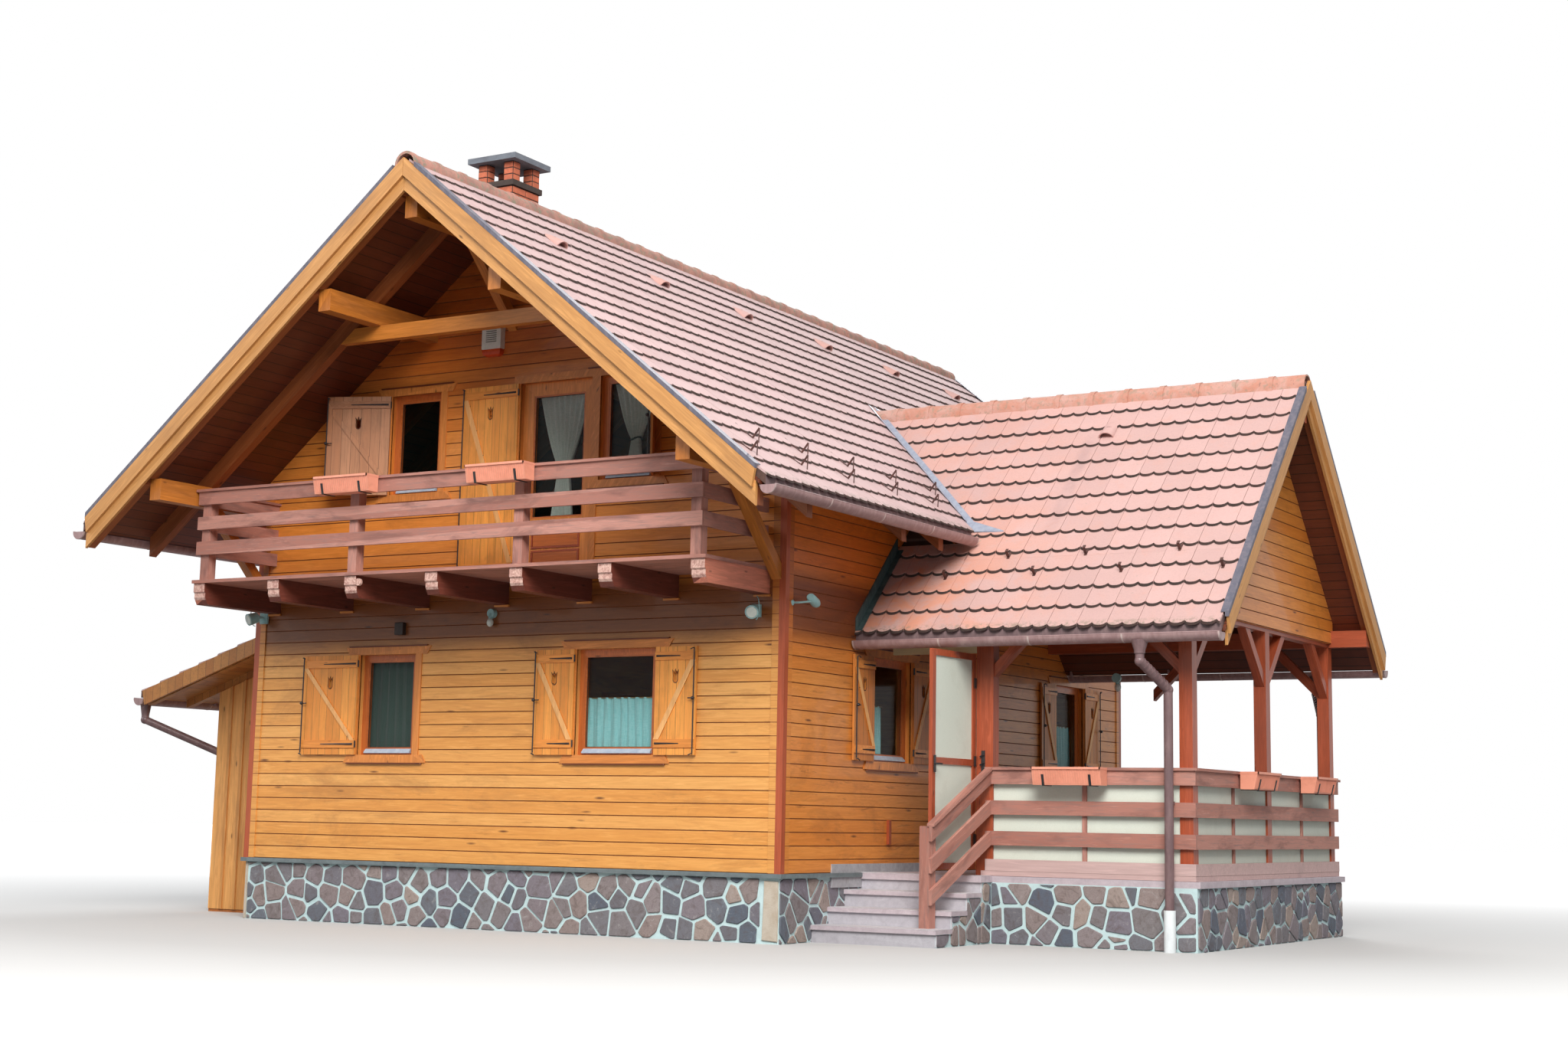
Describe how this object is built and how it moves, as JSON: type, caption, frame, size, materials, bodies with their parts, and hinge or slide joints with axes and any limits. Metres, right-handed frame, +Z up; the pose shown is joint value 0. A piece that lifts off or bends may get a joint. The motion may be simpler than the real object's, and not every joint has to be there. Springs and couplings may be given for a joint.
{
  "type": "alpine chalet",
  "caption": "Timber chalet on a rubble plinth with a steep tiled roof, a front balcony, a gabled side porch with steps and a screen door, and a lean-to.",
  "frame": {"origin": "on the ground under the middle of the main house", "axes": "+X to the right along the front gable, towards the porch; +Y from the front to the back; +Z up"},
  "size_m": [12.629, 12.004, 8.0598],
  "materials": {
    "rubble": "matte stone",
    "ledge_stone": "matte stone",
    "floor_boards": "satin",
    "varnished_siding": "satin",
    "red_brown_wood": "satin",
    "pane_glass": "clear",
    "trim_wood": "satin",
    "shutter_wood": "satin",
    "door_wood": "satin",
    "beam_wood": "satin",
    "soffit_wood": "satin",
    "roof_tile": "matte clay",
    "porch_tile": "matte clay",
    "barge_wood": "satin",
    "sheet_metal": "satin",
    "gutter_metal": "satin",
    "chimney_brick": "matte",
    "cap_concrete": "matte",
    "rail_wood": "matte",
    "step_stone": "satin stone",
    "screen_cloth": "matte",
    "batten_wood": "satin",
    "planter_plastic": "matte"
  },
  "bodies": {
    "house": {"main_plinth": "rubble", "plinth_ledge": "ledge_stone", "floors": "floor_boards", "end_walls": "varnished_siding", "side_walls": "varnished_siding", "gable_walls": "varnished_siding", "corner_boards": "red_brown_wood", "window_frames": "red_brown_wood", "window_glass": "pane_glass", "window_trims": "trim_wood", "shutters": "shutter_wood", "outer_doors": "door_wood", "purlins": "beam_wood", "rafters": "beam_wood", "roof_braces": "beam_wood", "roof_boarding": "soffit_wood", "roof_tiles": "roof_tile", "ridge_caps": "roof_tile", "barge_boards": "barge_wood", "valley_flashing": "sheet_metal", "gutters": "gutter_metal", "downpipes": "gutter_metal", "chimney": "chimney_brick", "chimney_cap": "cap_concrete", "balcony_joists": "rail_wood", "balcony_deck": "rail_wood", "balcony_railing": "rail_wood", "porch_plinth": "rubble", "porch_floor": "step_stone", "porch_steps": "rubble", "step_treads": "step_stone", "porch_posts": "red_brown_wood", "porch_beams": "red_brown_wood", "porch_boarding": "soffit_wood", "porch_tiles": "porch_tile", "porch_gable": "varnished_siding", "porch_railing": "rail_wood", "porch_screens": "screen_cloth", "stair_railing": "rail_wood", "lean_to_walls": "batten_wood", "lean_to_roof": "soffit_wood", "lean_to_tiles": "roof_tile", "flower_boxes": "planter_plastic"},
    "screen_door": {"screen_door": "red_brown_wood", "screen_door_mesh": "screen_cloth"}
  },
  "joints": [
    {"name": "screen_door_hinge", "type": "hinge", "parent": "house", "child": "screen_door", "pos_m": [4.447, -2.318, 1.74], "axis": [0, 0, 1], "range_deg": [-88, 2]}
  ]
}
